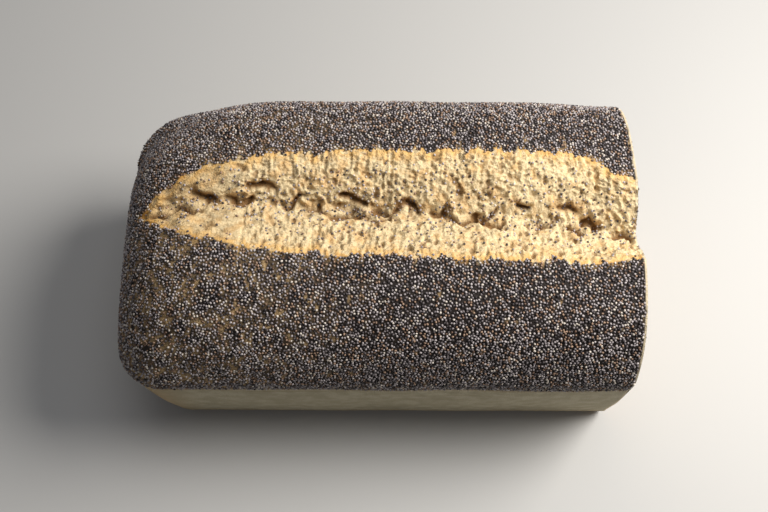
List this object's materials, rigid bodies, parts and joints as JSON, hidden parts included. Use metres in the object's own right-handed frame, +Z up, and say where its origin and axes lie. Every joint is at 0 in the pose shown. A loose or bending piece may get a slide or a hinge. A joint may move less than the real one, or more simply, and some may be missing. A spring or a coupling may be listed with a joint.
{
  "type": "rye bread loaf",
  "caption": "Tin-baked rye bread loaf with a seeded dome, a lengthwise split, one rounded heel and one cut end.",
  "frame": {"origin": "middle of the flat base, under the centre of the loaf's box", "axes": "+X along the loaf towards the cut end, -Y towards the long side that shows, +Z up"},
  "size_m": [0.2242, 0.1328, 0.1135],
  "materials": {
    "rye_crust": "matte seeded crust, pale crumb in the split and on the cut face"
  },
  "bodies": {
    "root": {"loaf": "rye_crust"}
  },
  "joints": []
}
